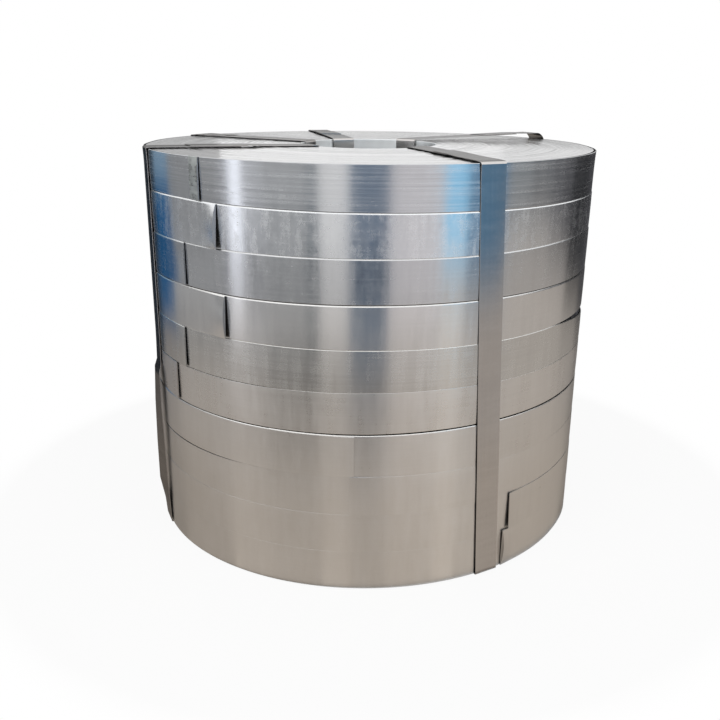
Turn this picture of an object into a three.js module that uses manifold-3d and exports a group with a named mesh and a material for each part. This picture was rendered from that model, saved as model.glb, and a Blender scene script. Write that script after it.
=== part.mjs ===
// A strapped stack of slit steel coils that stands on end, with its eye to the sky.
// Millimetres, +Z up. The origin is on the floor, on the axis of the bore.
import * as THREE from 'three';
import { mergeVertices } from 'three/addons/utils/BufferGeometryUtils.js';
import Module from 'manifold-3d';

const wasm = await Module();
wasm.setup();

// The coils
const OUTER_RADIUS = 500;
const BORE_RADIUS = 150;
const STRIP_WIDTH = 83.5; // the slit width, which is the height of one coil
const STRIP_THICKNESS = 1.6;
const WRAP_DEPTH = 18; // radial depth of the outer wraps, of which the last one ends in the tail
const FLAP_GAP = 0.85; // part of the sprung flap's length over which the gap beneath it is open
const LEAN = 10.9; // how far the stack leans towards +X from its foot to its top
const COIL_SEGMENTS = 56;

// The straps
const STRAP_WIDTH = 54;
const STRAP_THICKNESS = 1.2;
const LAP_RAMP = 60; // length over which a strap's end climbs onto its start
const TIGHT_BEND = 1.2; // inner radius where the stack's weight presses the strap flat
const BORE_BEND = 6; // inner radius over the rim of the bore
const BEND_STEPS = 4;

// The fits
const STACK_GAP = 0.3; // from one coil to the next
const STRAP_CLEARANCE = 0.3; // from a strap to the edge that it bends over
const LAP_CLEARANCE = 0.3; // between the two layers of a lap

// The coils from the top down. Extra is how much wider than the nominal width the strip was slit.
// The tail is the azimuth of the outer wrap's free end, and turn is 1 where the strip runs
// anticlockwise to it, seen from above. The last stretch of the wrap, flap long, is sprung off the
// wrap below by lift at its end. Proud is how far the inner turns have slid up past the outer
// ones, and steps are where the turns on the ends step, as fractions of the way out from the bore.
const COILS = [
  { extra: 0.5, tail: -130.2, turn: 1, flap: 45, lift: 4, proud: 0.6, steps: [0.39, 0.72] },
  { extra: 0.2, tail: -125.2, turn: 1, flap: 29, lift: 9, proud: 0.8, steps: [0.32] },
  { extra: 0.6, tail: -136.8, turn: 1, flap: 58, lift: 4, proud: 0.5, steps: [0.52] },
  { extra: 1.5, tail: -123.5, turn: 1, flap: 33, lift: 9, proud: 0.9, steps: [0.18] },
  { extra: 0, tail: -138.3, turn: 1, flap: 60, lift: 4, proud: 0.6, steps: [0.68] },
  { extra: -0.7, tail: -143.3, turn: 1, flap: 58, lift: 3, proud: 0.7, steps: [0.41] },
  { extra: 0.4, tail: -93.1, turn: 1, flap: 36, lift: 1, proud: 5, steps: [0.89] },
  { extra: -0.7, tail: -94.1, turn: -1, flap: 35, lift: 1.5, proud: 0.6, steps: [0.27] },
  { extra: -1.6, tail: -53.7, turn: -1, flap: 40, lift: 6, proud: 0.8, steps: [0.58] },
  { extra: -1.2, tail: -55.2, turn: -1, flap: 39, lift: 7, proud: 0.6, steps: [0.16, 0.63] },
];

// The straps by azimuth: where each crosses the outer rim at the top and at the bottom, and where
// it runs down the bore. Bend is its inner radius over the upper rim. Its two ends lap on the top
// run: the lower end lies under from the rim, and the upper one over from the rim. Slack is where
// it stands off the wall: at is a fraction of the stack's height, off is the gap, and the twist
// in degrees brings the edge on the anticlockwise side nearer to the wall.
const STRAPS = [
  { name: 'strap_front_right', top: -64.1, bottom: -59.9, bore: -47, bend: 6, under: 155, over: 214 },
  { name: 'strap_back_right', top: 31, bottom: 30, bore: 52, bend: 26, under: 60, over: 150 },
  { name: 'strap_back_centre', top: 106, bottom: 106, bore: 114, bend: 6, under: 110, over: 200 },
  { name: 'strap_back_left', top: 150, bottom: 150, bore: 158, bend: 12, under: 20, over: 110 },
  {
    name: 'strap_left', top: -158.5, bottom: -157.5, bore: -147, bend: 18, under: 205, over: 86,
    slack: [
      { at: 0.045, off: 1.6, twist: 2 },
      { at: 0.11, off: 5.5, twist: 11 },
      { at: 0.22, off: 5.5, twist: 9 },
      { at: 0.34, off: 6, twist: 4 },
      { at: 0.435, off: 5, twist: 2 },
      { at: 0.455, off: 1, twist: 0 },
    ],
  },
];

const UP = new THREE.Vector3(0, 0, 1);

const radians = THREE.MathUtils.degToRad;

// How far a strap stands off the two faces of an edge that it bends over with this inner radius.
const bendInset = (bend) => (bend - STRAP_CLEARANCE) / Math.SQRT2;
const standOff = (bend) => bend - bendInset(bend);

// The stack stands on the straps that pass under it.
const STACK_BOTTOM = STRAP_THICKNESS + standOff(TIGHT_BEND);

const widthOf = (coil) => STRIP_WIDTH + coil.extra;
const stepRadii = (coil) => coil.steps.map((part) => BORE_RADIUS + (OUTER_RADIUS - BORE_RADIUS) * part);

// How far the turns at a radius have slid up. The rings between the steps climb towards the bore.
function slideOf(coil, radius) {
  const passed = stepRadii(coil).filter((step) => step > radius).length;
  return coil.proud * passed / coil.steps.length;
}

// The height of each coil's outer wraps, from the top down. A coil rests where its stepped
// underside first meets the stepped top of the coil below, which is just inside a step.
function coilHeights() {
  const heights = [];
  let below = null;
  for (const coil of COILS.toReversed()) {
    if (below === null) {
      heights.unshift(STACK_BOTTOM);
    } else {
      const rings = [...stepRadii(coil), ...stepRadii(below), OUTER_RADIUS];
      const rises = rings.map((radius) => slideOf(below, radius - 1) - slideOf(coil, radius - 1));
      heights.unshift(heights[0] + widthOf(below) + Math.max(...rises) + STACK_GAP);
    }
    below = coil;
  }
  return heights;
}

const COIL_HEIGHTS = coilHeights();
const STACK_TOP = COIL_HEIGHTS[0] + widthOf(COILS[0]) + COILS[0].proud;

// The middle of the stack at a height, which shifts because the stack leans.
function middleAt(height) {
  const part = (height - STACK_BOTTOM) / (STACK_TOP - STACK_BOTTOM);
  return new THREE.Vector3(LEAN * (part - 0.5), 0, height);
}

// The middle of each coil's upper and lower rims, from the foot up.
const COIL_MIDDLES = COILS.map((coil, i) => middleAt(COIL_HEIGHTS[i] + widthOf(coil) / 2));
const RIMS = COILS.flatMap((coil, i) => [
  COIL_MIDDLES[i].clone().setZ(COIL_HEIGHTS[i] + widthOf(coil)),
  COIL_MIDDLES[i].clone().setZ(COIL_HEIGHTS[i]),
]).reverse();

const coilSteel = new THREE.MeshStandardMaterial({ color: 0xb4b6b8, metalness: 1, roughness: 0.3 });
const strapSteel = new THREE.MeshStandardMaterial({ color: 0x9aa0a6, metalness: 1, roughness: 0.35 });

// The unit vector out from the axis, at an azimuth in degrees.
const outward = (azimuth) => new THREE.Vector3(Math.cos(radians(azimuth)), Math.sin(radians(azimuth)), 0);

function solidOf(geometry) {
  const bare = new THREE.BufferGeometry();
  bare.setAttribute('position', geometry.getAttribute('position'));
  bare.setIndex(geometry.index);
  const merged = mergeVertices(bare, 1e-4);
  return new wasm.Manifold(new wasm.Mesh({
    numProp: 3,
    vertProperties: merged.getAttribute('position').array,
    triVerts: new Uint32Array(merged.index.array),
  }));
}

function geometryOf(solid) {
  const mesh = solid.getMesh();
  const geometry = new THREE.BufferGeometry();
  geometry.setAttribute('position', new THREE.BufferAttribute(mesh.vertProperties, 3));
  geometry.setIndex(new THREE.BufferAttribute(mesh.triVerts, 1));
  geometry.computeVertexNormals();
  return geometry;
}

// The wound turns, as one turned ring. Both of its ends step by the same slides, because the
// strip has one width.
function turnedRing(coil) {
  const core = OUTER_RADIUS - WRAP_DEPTH / 2;
  const radii = [BORE_RADIUS, ...stepRadii(coil), core];
  const bottom = [];
  const top = [];
  for (let i = 0; i + 1 < radii.length; i++) {
    const slide = slideOf(coil, (radii[i] + radii[i + 1]) / 2);
    for (const radius of [radii[i], radii[i + 1]]) {
      bottom.push(new THREE.Vector2(radius, slide));
      top.push(new THREE.Vector2(radius, slide + widthOf(coil)));
    }
  }
  const profile = [...bottom, ...top.reverse(), bottom[0].clone()];
  return new THREE.LatheGeometry(profile, COIL_SEGMENTS).rotateX(Math.PI / 2);
}

const polar = (radius, azimuth) => {
  const direction = outward(azimuth);
  return new THREE.Vector2(direction.x * radius, direction.y * radius);
};

// The outer wraps in plan: one turn of a spiral that grows by the strip's thickness and ends in a
// straight tail, sprung off the wrap below.
function outerWraps(coil) {
  const flapAngle = THREE.MathUtils.radToDeg(coil.flap / OUTER_RADIUS);
  const under = OUTER_RADIUS - STRIP_THICKNESS;
  const outline = [];
  for (let i = 0; i <= COIL_SEGMENTS; i++) {
    const turned = (360 - flapAngle) * i / COIL_SEGMENTS;
    outline.push(polar(under + STRIP_THICKNESS * turned / 360, coil.tail + coil.turn * turned));
  }
  outline.push(polar(OUTER_RADIUS + coil.lift, coil.tail));
  outline.push(polar(under + coil.lift, coil.tail));
  outline.push(polar(under, coil.tail - coil.turn * flapAngle * FLAP_GAP));
  const shape = new THREE.Shape(outline);
  const hole = [];
  for (let i = 0; i < COIL_SEGMENTS; i++) {
    hole.push(polar(OUTER_RADIUS - WRAP_DEPTH, 360 * i / COIL_SEGMENTS));
  }
  shape.holes.push(new THREE.Path(hole));
  return new THREE.ExtrudeGeometry(shape, { depth: widthOf(coil), bevelEnabled: false });
}

function coilGeometry(coil) {
  return geometryOf(solidOf(turnedRing(coil)).add(solidOf(outerWraps(coil))));
}

// The stations of a bend over a horizontal edge, from the level run to the upright one. Away points
// from the coil's wall to the upright run, and up is 1 at the top of the stack.
function bendStations({ edge, away, up, bend }) {
  const inset = bendInset(bend);
  const centre = edge.clone().addScaledVector(away, -inset).addScaledVector(UP, -up * inset);
  const across = UP.clone().cross(away);
  const stations = [];
  for (let i = 0; i <= BEND_STEPS; i++) {
    const angle = Math.PI / 2 * i / BEND_STEPS;
    const normal = UP.clone().multiplyScalar(up * Math.cos(angle)).addScaledVector(away, Math.sin(angle));
    const point = centre.clone().addScaledVector(normal, bend + STRAP_THICKNESS / 2);
    stations.push({ point, across, normal });
  }
  return stations;
}

// The bends of a strap over the upper rim and round the foot, on the outer wall or in the bore.
// Side is 1 on the wall and -1 in the bore, and the stations run from the foot up.
function sideBends({ foot, top, radius, side, bend }) {
  const bendAt = (azimuth, rim, height, up, inner) => {
    const edge = outward(azimuth).multiplyScalar(radius).add(rim).setZ(height);
    return bendStations({ edge, away: outward(azimuth).multiplyScalar(side), up, bend: inner });
  };
  return {
    low: bendAt(foot, RIMS[0], STACK_BOTTOM, -1, TIGHT_BEND),
    high: bendAt(top, RIMS.at(-1), STACK_TOP, 1, bend).reverse(),
  };
}

// A station on the upright run of a strap, at a height, off the wall by a gap and twisted.
function uprightStation({ foot, top, radius, side }, middle, off, twist) {
  const part = (middle.z - STACK_BOTTOM) / (STACK_TOP - STACK_BOTTOM);
  const azimuth = foot + (top - foot) * part;
  const away = outward(azimuth).multiplyScalar(side);
  const along = UP.clone().cross(away);
  const turned = radians(twist);
  const face = outward(azimuth).multiplyScalar(radius).add(middle).addScaledVector(away, off);
  return {
    point: face.addScaledVector(away, STRAP_THICKNESS / 2),
    across: along.clone().multiplyScalar(Math.cos(turned)).addScaledVector(away, -Math.sin(turned)),
    normal: away.clone().multiplyScalar(Math.cos(turned)).addScaledVector(along, Math.sin(turned)),
  };
}

// The upright run of a strap pulled tight: it bears on the rims that stand proud, and spans those
// between, which lie further in.
function tightRun(course) {
  const rims = RIMS.map((middle) => {
    const station = uprightStation(course, middle, STRAP_CLEARANCE, 0);
    return { station, height: middle.z, reach: station.point.dot(station.normal) };
  });
  const slope = (a, b) => (b.reach - a.reach) / (b.height - a.height);
  const kept = [];
  for (const rim of rims) {
    while (kept.length > 1 && slope(kept.at(-2), kept.at(-1)) <= slope(kept.at(-1), rim)) {
      kept.pop();
    }
    kept.push(rim);
  }
  return kept.slice(1, -1).map((rim) => rim.station);
}

// The upright run of a strap that hangs slack.
function slackRun(course, slack) {
  return slack.map(({ at, off, twist }) => {
    const middle = middleAt(STACK_BOTTOM + (STACK_TOP - STACK_BOTTOM) * at);
    return uprightStation(course, middle, off, twist);
  });
}

// A strap's closed way round the stack: up the outer wall, over the top run, down the bore and
// out under the stack. Across always points the same way from one station to the next.
function strapLoop(strap) {
  const wall = { foot: strap.bottom, top: strap.top, radius: OUTER_RADIUS, side: 1, bend: strap.bend };
  const boreFlat = BORE_RADIUS * Math.cos(Math.PI / COIL_SEGMENTS);
  const boreChord = Math.sqrt(boreFlat ** 2 - (STRAP_WIDTH / 2) ** 2);
  const bore = { foot: strap.bore, top: strap.bore, radius: boreChord, side: -1, bend: BORE_BEND };
  const wallBends = sideBends(wall);
  const boreBends = sideBends(bore);
  const wallRun = strap.slack ? slackRun(wall, strap.slack) : tightRun(wall);
  const down = [...boreBends.low, ...tightRun(bore), ...boreBends.high].reverse();
  const turned = down.map((station) => ({ ...station, across: station.across.clone().negate() }));
  return [...turned, ...wallBends.low, ...wallRun, ...wallBends.high];
}

// The whole strip, from its lower end on the top run, once round, to its upper end. Way is 1 where
// the upper end comes over the outer rim and -1 where it comes out of the bore.
function strapStations(strap) {
  const loop = strapLoop(strap);
  const rim = loop.at(-1);
  const bore = loop[0];
  const runLength = rim.point.distanceTo(bore.point);
  const onTopRun = (distance, raised) => {
    const part = distance / runLength;
    const across = rim.across.clone().lerp(bore.across, part).normalize();
    const point = rim.point.clone().lerp(bore.point, part).addScaledVector(UP, raised);
    return { point, across, normal: UP };
  };
  const way = Math.sign(strap.over - strap.under);
  const room = way > 0 ? strap.under : runLength - strap.under;
  const ramp = Math.min(LAP_RAMP, room * 2 / 3);
  const raised = STRAP_THICKNESS + LAP_CLEARANCE;
  const stations = [
    onTopRun(strap.under, 0),
    ...(way > 0 ? loop : loop.toReversed()),
    onTopRun(strap.under - way * ramp, 0),
    onTopRun(strap.under - way * LAP_CLEARANCE, raised),
    onTopRun(strap.over, raised),
  ];
  return stations.map((station) => ({ ...station, across: station.across.clone().multiplyScalar(way) }));
}

// A flat band lofted through its stations, with a square cut at each end. Both of its broad faces
// are split along the same diagonals, so that they stay apart where the band twists.
function bandGeometry(stations) {
  const positions = [];
  for (const { point, across, normal } of stations) {
    for (const [side, face] of [[-1, -1], [1, -1], [1, 1], [-1, 1]]) {
      const corner = point.clone()
        .addScaledVector(across, side * STRAP_WIDTH / 2)
        .addScaledVector(normal, face * STRAP_THICKNESS / 2);
      positions.push(corner.x, corner.y, corner.z);
    }
  }
  const faces = [0, 1, 2, 0, 2, 3];
  for (let i = 0; i + 1 < stations.length; i++) {
    for (let k = 0; k < 4; k++) {
      const [a, b] = [4 * i + k, 4 * i + (k + 1) % 4];
      faces.push(...(k < 2 ? [a, a + 4, b + 4, a, b + 4, b] : [a, a + 4, b, a + 4, b + 4, b]));
    }
  }
  const end = 4 * (stations.length - 1);
  faces.push(end, end + 2, end + 1, end, end + 3, end + 2);
  const geometry = new THREE.BufferGeometry();
  geometry.setAttribute('position', new THREE.Float32BufferAttribute(positions, 3));
  geometry.setIndex(faces);
  geometry.computeVertexNormals();
  return geometry;
}

const stack = new THREE.Group();

COILS.forEach((coil, i) => {
  const mesh = new THREE.Mesh(coilGeometry(coil), coilSteel);
  mesh.name = `coil_${String(i + 1).padStart(2, '0')}`;
  mesh.position.copy(COIL_MIDDLES[i]).setZ(COIL_HEIGHTS[i]);
  stack.add(mesh);
});

for (const strap of STRAPS) {
  const mesh = new THREE.Mesh(bandGeometry(strapStations(strap)), strapSteel);
  mesh.name = strap.name;
  stack.add(mesh);
}

export default stack;
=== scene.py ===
"""A strapped stack of slit, galvanised steel coils on end, on a pale studio floor. Metres, +Z up."""
import math
import random

import bmesh
import bpy
import numpy as np
from mathutils import Matrix, Vector


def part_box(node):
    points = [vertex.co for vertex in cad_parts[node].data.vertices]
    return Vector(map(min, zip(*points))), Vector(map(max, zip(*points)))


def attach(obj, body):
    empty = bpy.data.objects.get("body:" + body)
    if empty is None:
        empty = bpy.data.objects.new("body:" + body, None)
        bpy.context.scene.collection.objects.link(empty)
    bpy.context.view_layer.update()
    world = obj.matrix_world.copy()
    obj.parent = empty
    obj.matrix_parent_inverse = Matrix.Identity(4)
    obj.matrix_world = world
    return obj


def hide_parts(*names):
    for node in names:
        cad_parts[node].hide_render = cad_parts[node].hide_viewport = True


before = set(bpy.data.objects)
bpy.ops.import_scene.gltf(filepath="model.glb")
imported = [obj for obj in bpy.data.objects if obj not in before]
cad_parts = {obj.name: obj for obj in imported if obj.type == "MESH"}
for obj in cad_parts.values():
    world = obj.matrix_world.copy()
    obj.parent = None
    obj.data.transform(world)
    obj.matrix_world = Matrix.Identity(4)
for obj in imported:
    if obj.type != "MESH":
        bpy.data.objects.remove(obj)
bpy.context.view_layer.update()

# ---------------------------------------------------------------- sizes of the object
OUTER_RADIUS = 0.4999
SPIRAL_EASE = 2.5  # how soon the outer wrap climbs over its own tucked start
# Where the coils are out of round: azimuth, how far the wall lies in or out there in metres, and
# over how many degrees to each side.
OUT_OF_ROUND = [
    (0, -0.0018, 10), (180, -0.0016, 9), (90, -0.0010, 50), (-18, 0.0022, 16), (-169, 0.0008, 8),
]
BORE_RADIUS = 0.1503
STRIP_WIDTH = 0.0835
STRIP_THICKNESS = 0.0016
STRIP_EDGE = 0.0004  # radius on the strip's sharp slit edges
TUCKED = 20  # degrees of the outer and inner wraps that lie hidden under the next turn
WRAP_GAP = 0.00015  # between one wrap and the turns that it lies on

STRAP_WIDTH = 0.054
STRAP_THICKNESS = 0.0012
STRAP_EDGE = 0.00035
LAP_RAMP = 0.060
LAP_CLEARANCE = 0.0003
STRAP_CLEARANCE = 0.0003
TIGHT_BEND = 0.0012
BORE_BEND = 0.004

FRAME_RADIUS = 0.5
FRAME_BORE_RADIUS = 0.15
FRAME_SEGMENTS = 56  # the frame's bore is faceted, and the straps lie inside its flats
LEAN = 0.0109  # how far the stack leans towards +X from its foot to its top

NO_SHIFT = ((0, 0.0),)  # by azimuth, for what is nothing all the way round

# The coils from the top down. As in the frame are extra, how much wider than the nominal width the
# strip was slit; tail, the azimuth of the outer wrap's free end; turn, 1 where the strip runs
# anticlockwise to it, seen from above; and steps, where the turns on the ends step, as fractions
# of the way out from the bore. Flap is the length of the sprung end, lift is how far it stands off
# at the strip's lower edge, middle and upper edge, and warp is how deep it ripples. Gap is what is
# left open under the coil above, and inset how far the wrap lies in, both by azimuth. Rolled and
# foot are the radii on the wrap's upper and lower edges, tail_edge is the upper one on the flap,
# tuck is how far the lower edge lies in, and scuffed is the length of the flap's scuffed end.
COIL_DEFAULTS = {"turn": 1, "warp": 0.0, "gap": NO_SHIFT, "inset": NO_SHIFT, "rolled": 0.00012,
                 "foot": 0.0003, "tuck": 0.0, "scuffed": 0.0}
COILS = [
    {"extra": 0.0005, "tail": -130.2, "flap": 0.045, "steps": (0.39, 0.72), "warp": 0.00022,
     "lift": (0.0030, 0.0040, 0.0012), "rolled": 0.0006, "tuck": 0.0008, "scuffed": 0.026},
    {"extra": 0.0002, "tail": -125.2, "flap": 0.056, "steps": (0.32,), "warp": 0.00012,
     "lift": (0.0072, 0.0125, 0.0014), "gap": ((0, 0.0008),), "rolled": 0.0023, "tuck": 0.0008},
    {"extra": 0.0006, "tail": -136.8, "flap": 0.085, "steps": (0.52,),
     "lift": (0.0024, 0.0034, 0.0016), "gap": ((0, 0.0002),), "rolled": 0.0023, "tuck": 0.0008},
    {"extra": 0.0015, "tail": -123.5, "flap": 0.058, "steps": (0.18,),
     "lift": (0.0060, 0.0096, 0.0024), "gap": ((0, 0.0015),), "rolled": 0.0024, "tuck": 0.0008},
    {"extra": 0.0, "tail": -138.3, "flap": 0.085, "steps": (0.68,),
     "lift": (0.0030, 0.0036, 0.0020), "rolled": 0.0009, "foot": 0.0002, "tuck": 0.0004,
     "gap": ((-180, 0.0), (-165, 0.0002), (-100, 0.0002), (-90, 0.0))},
    {"extra": -0.0007, "tail": -143.3, "flap": 0.058, "steps": (0.41,),
     "lift": (0.0028, 0.0034, 0.0018), "rolled": 0.0002, "tuck": 0.0007,
     "gap": ((-180, 0.0), (-165, 0.0011), (-114, 0.0010), (-106, 0.0))},
    {"extra": 0.0004, "tail": -93.1, "flap": 0.036, "steps": (0.89,),
     "lift": (0.0003, 0.0006, 0.0010), "rolled": 0.0015, "foot": 0.0001, "tail_edge": 0.0023,
     "gap": ((-180, 0.0034), (-168, 0.0008), (-130, 0.0011), (-112, 0.0019), (-95, 0.0028),
             (-60, 0.0033), (-20, 0.0034))},
    {"extra": -0.0007, "tail": -94.1, "turn": -1, "flap": 0.035, "steps": (0.27,),
     "lift": (0.0003, 0.0006, 0.0012), "foot": 0.0001, "tail_edge": 0.0022,
     "gap": ((-180, 0.0), (-168, 0.0034), (-140, 0.0031), (-126, 0.0022), (-120, 0.0008),
             (-98, 0.0005), (-94, 0.0)),
     "inset": ((-93, 0.0), (-80, 0.0011), (-40, 0.0009), (10, 0.0))},
    {"extra": -0.0016, "tail": -53.7, "turn": -1, "flap": 0.040, "steps": (0.58,),
     "lift": (0.0058, 0.0045, 0.0026), "foot": 0.0001, "tail_edge": 0.0022},
    {"extra": -0.0012, "tail": -55.2, "turn": -1, "flap": 0.039, "steps": (0.16, 0.63),
     "lift": (0.0014, 0.0085, 0.0030), "tail_edge": 0.0014},
]

# How far the outer wraps have crept up or down at a seam, by azimuth; seam 1 is under coil_01.
SEAM_SHIFTS = {
    1: ((-165, 0.0), (-148, 0.0035), (-138, 0.0042), (-124, 0.002), (-100, 0.0), (-60, -0.001),
        (-22, -0.002), (0, 0.0)),
    2: ((-165, 0.0), (-138, 0.0022), (-124, 0.001), (-70, 0.0015), (-42, 0.0055), (-26, 0.007), (0, 0.0)),
    3: ((-165, 0.0), (-140, 0.0016), (-120, 0.0), (-42, 0.0025), (-20, 0.002), (0, 0.0)),
    5: ((-100, 0.0), (-74, 0.0015), (-60, 0.0), (0, 0.0)),
    6: ((-90, 0.0), (-60, 0.003), (-30, 0.002), (0, 0.0)),
}

# The upper coils have settled out of level: how much they rise towards -X, from none at one
# height to all of it at another.
SETTLED = 0.0125
SETTLED_FROM, SETTLED_BY = 0.33, 0.80

# The lip that the topmost wrap bends out at its upper edge: where it starts, is widest and ends.
LIP = {"azimuths": (-42, -19, -6), "width": 0.002, "power": 5}

# The crushed rim of one coil, by its index: where it starts, is deepest and ends, how deep it is,
# and how far in from the wall the turns are pressed down.
CRUSHED = {4: {"azimuths": (-42, -10, 20), "depth": 0.020, "reach": 0.05}}
CRUSH_POWER = 1.5  # how gently the rim begins to sink

# The straps. As in the frame are bottom, the azimuth at the lower rim; bore, the one in the bore;
# and under and over, where the lower and upper ends lie on the top run, as distances from the rim.
# Top is the azimuth at the upper rim, and bend the inner radius over it, pressed closer than in the
# frame. Tip is how many degrees the top run tips up in front, and level keeps a strap from settling
# with the coils. Slack is where it hangs slack, as (fraction of the height, gap, twist), and hug is
# how far it lies inside the frame's strap, by fraction of the height.
STRAPS = {
    "strap_front_right": {"top": -64.1, "bottom": -59.9, "bore": -47, "bend": 0.006, "tip": 0.1,
                          "under": 0.155, "over": 0.214,
                          "hug": ((0.0, 0.0), (0.30, 0.0003), (0.52, 0.0016), (0.98, 0.0019),
                                  (1.0, 0.0008))},
    "strap_back_right": {"top": 31, "bottom": 30, "bore": 52, "bend": 0.026, "level": True,
                         "under": 0.060, "over": 0.150},
    "strap_back_centre": {"top": 106, "bottom": 106, "bore": 114, "bend": 0.004, "tip": 1.2,
                          "under": 0.110, "over": 0.200},
    "strap_back_left": {"top": 150, "bottom": 150, "bore": 158, "bend": 0.003, "tip": 0.5,
                        "under": 0.020, "over": 0.110},
    "strap_left": {"top": -159.5, "bottom": -157.7, "bore": -147, "bend": 0.003,
                   "under": 0.205, "over": 0.086,
                   "hug": ((0.0, 0.0), (0.455, 0.0), (0.52, 0.0007), (0.98, 0.0008),
                           (1.0, 0.0004)),
                   "slack": ((0.045, 0.0020, 2), (0.11, 0.0080, 10), (0.22, 0.0085, 9),
                             (0.34, 0.0085, 5), (0.435, 0.006, 2), (0.455, 0.001, 0))},
}

UP = np.array([0.0, 0.0, 1.0])


def outward(azimuth):
    """The level unit vector out from the axis at an azimuth in degrees."""
    angle = math.radians(azimuth)
    return np.array([math.cos(angle), math.sin(angle), 0.0])


STACK_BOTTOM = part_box("coil_10")[0][2]
STACK_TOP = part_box("coil_01")[1][2]


def part_of_height(height):
    """How far up the stack a height lies, from 0 at the foot to 1 at the top."""
    return (height - STACK_BOTTOM) / (STACK_TOP - STACK_BOTTOM)


def lean_at(height):
    """How far towards +X the middle of the stack lies at a height."""
    return LEAN * (part_of_height(height) - 0.5)


def middle_at(height):
    """The middle of the leaning stack at a height."""
    return np.array([lean_at(height), 0.0, height])


def wrapped(azimuths):
    """The same azimuths, from -180 to 180."""
    return (np.asarray(azimuths) + 180) % 360 - 180


def lengths_along(points):
    """How far along a line of points each of them lies."""
    steps = np.linalg.norm(np.diff(points, axis=0), axis=1)
    return np.concatenate([[0], np.cumsum(steps)])


for index, coil in enumerate(COILS):
    for key, value in COIL_DEFAULTS.items():
        coil.setdefault(key, value)
    coil.setdefault("tail_edge", coil["rolled"])
    low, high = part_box(f"coil_{index + 1:02d}")
    coil["width"] = STRIP_WIDTH + coil["extra"]
    coil["bottom"] = low[2]
    coil["proud"] = high[2] - low[2] - coil["width"]
    coil["middle"] = lean_at(low[2] + coil["width"] / 2)
    above = COILS[index - 1]["bottom"] if index else low[2] + coil["width"]
    coil["wall"] = above - low[2]  # height that the outer wrap may fill


# ---------------------------------------------------------------- meshes
def in_scene(name, data):
    """A new object in the scene."""
    made = bpy.data.objects.new(name, data)
    bpy.context.scene.collection.objects.link(made)
    return made


SHARP_ANGLE = 38  # degrees between two faces over which their edge stays sharp


class MeshParts:
    """Collects vertices, faces, UVs and material numbers of one mesh. A UV is metres across the
    rolling direction, then metres along it."""

    def __init__(self):
        self.points = []
        self.faces = []
        self.uvs = []
        self.numbers = []

    def grid(self, points, uvs, number, close_rows=False):
        """Quads over a rows by columns array of points, with the last column joined to the first.
        Closing the rows joins the last of those to the first as well."""
        rows, columns = points.shape[:2]
        base = sum(len(block) for block in self.points)
        self.points.append(points.reshape(-1, 3))
        for i in range(rows if close_rows else rows - 1):
            for j in range(columns):
                next_i, next_j = (i + 1) % rows, (j + 1) % columns
                corners = [(i, j), (next_i, j), (next_i, next_j), (i, next_j)]
                self.faces.append([base + r * columns + c for r, c in corners])
                corner_uvs = [(i, j), (i + 1, j), (i + 1, j + 1), (i, j + 1)]
                self.uvs.extend(uvs[r, c] for r, c in corner_uvs)
                self.numbers.append(number)
        return base

    def sweep(self, points, along, section, number):
        """A section swept along a line and closed at both ends. Along is how far along the line
        each row of points lies."""
        around = lengths_along(np.concatenate([section, section[:1]]))
        uvs = np.stack(np.meshgrid(along, around, indexing="ij"), axis=2)[:, :, ::-1]
        base = self.grid(points, uvs, number)
        count = len(section)
        for first_point in (base, base + (len(points) - 1) * count):
            self.faces.append(list(range(first_point, first_point + count)))
            self.uvs.extend([(0.0, 0.0)] * count)
            self.numbers.append(number)

    def build(self, name, materials, leaning=False, level=False):
        """The finished object, leaning with the stack or as it is, settled unless it keeps level,
        and shaded smooth except over sharp edges."""
        mesh = bpy.data.meshes.new(name)
        points = np.concatenate(self.points)
        if leaning:
            points[:, 0] += lean_at(points[:, 2])
        if not level:
            points = settle(points)
        mesh.from_pydata(points.tolist(), [], self.faces)
        layer = mesh.uv_layers.new(name="sheet")
        layer.data.foreach_set("uv", np.array(self.uvs, dtype=np.float32).ravel())
        for material in materials:
            mesh.materials.append(material)
        mesh.polygons.foreach_set("material_index", self.numbers)
        mesh.polygons.foreach_set("use_smooth", [True] * len(self.faces))
        working = bmesh.new()
        working.from_mesh(mesh)
        bmesh.ops.recalc_face_normals(working, faces=working.faces)
        working.to_mesh(mesh)
        working.free()
        mesh.update()
        mesh.set_sharp_from_angle(angle=math.radians(SHARP_ANGLE))
        return in_scene(name, mesh)


WAVE_SLANT = 1.5  # most that a wave shifts over the strip's width, in radians
WAVE_FADE = 0.22  # how fast the waves weaken as they get shorter


def ripple(seed, waves):
    """A smooth function of azimuth in degrees and of the part of the strip's width, from 0 to 1: a
    sum of the given whole numbers of waves round the coil, each with a seeded phase and slant."""
    chance = random.Random(seed)
    phases = [chance.uniform(0, 2 * math.pi) for _ in waves]
    slants = [chance.uniform(-WAVE_SLANT, WAVE_SLANT) for _ in waves]
    weights = [1 / (1 + WAVE_FADE * wave) for wave in waves]

    def value(azimuth, part):
        angle = np.radians(azimuth)[:, None]
        total = sum(
            w * np.sin(n * angle + p + s * part[None, :])
            for n, p, s, w in zip(waves, phases, slants, weights)
        )
        return 0.5 + 0.5 * total / sum(weights)

    return value


def by_azimuth(azimuths, points):
    """A value given at some azimuths, straight between them and level beyond."""
    places, values = zip(*points)
    return np.interp(wrapped(azimuths), places, values)


def settle(points):
    """Tips the upper coils, and what lies on them, out of level."""
    share = np.clip((points[..., 2] - SETTLED_FROM) / (SETTLED_BY - SETTLED_FROM), 0, 1)
    points[..., 2] -= SETTLED * share * share * (3 - 2 * share) * points[..., 0]
    return points


BEVEL_DEPTH = 0.0013  # how far in a rolled edge leans at most
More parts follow.
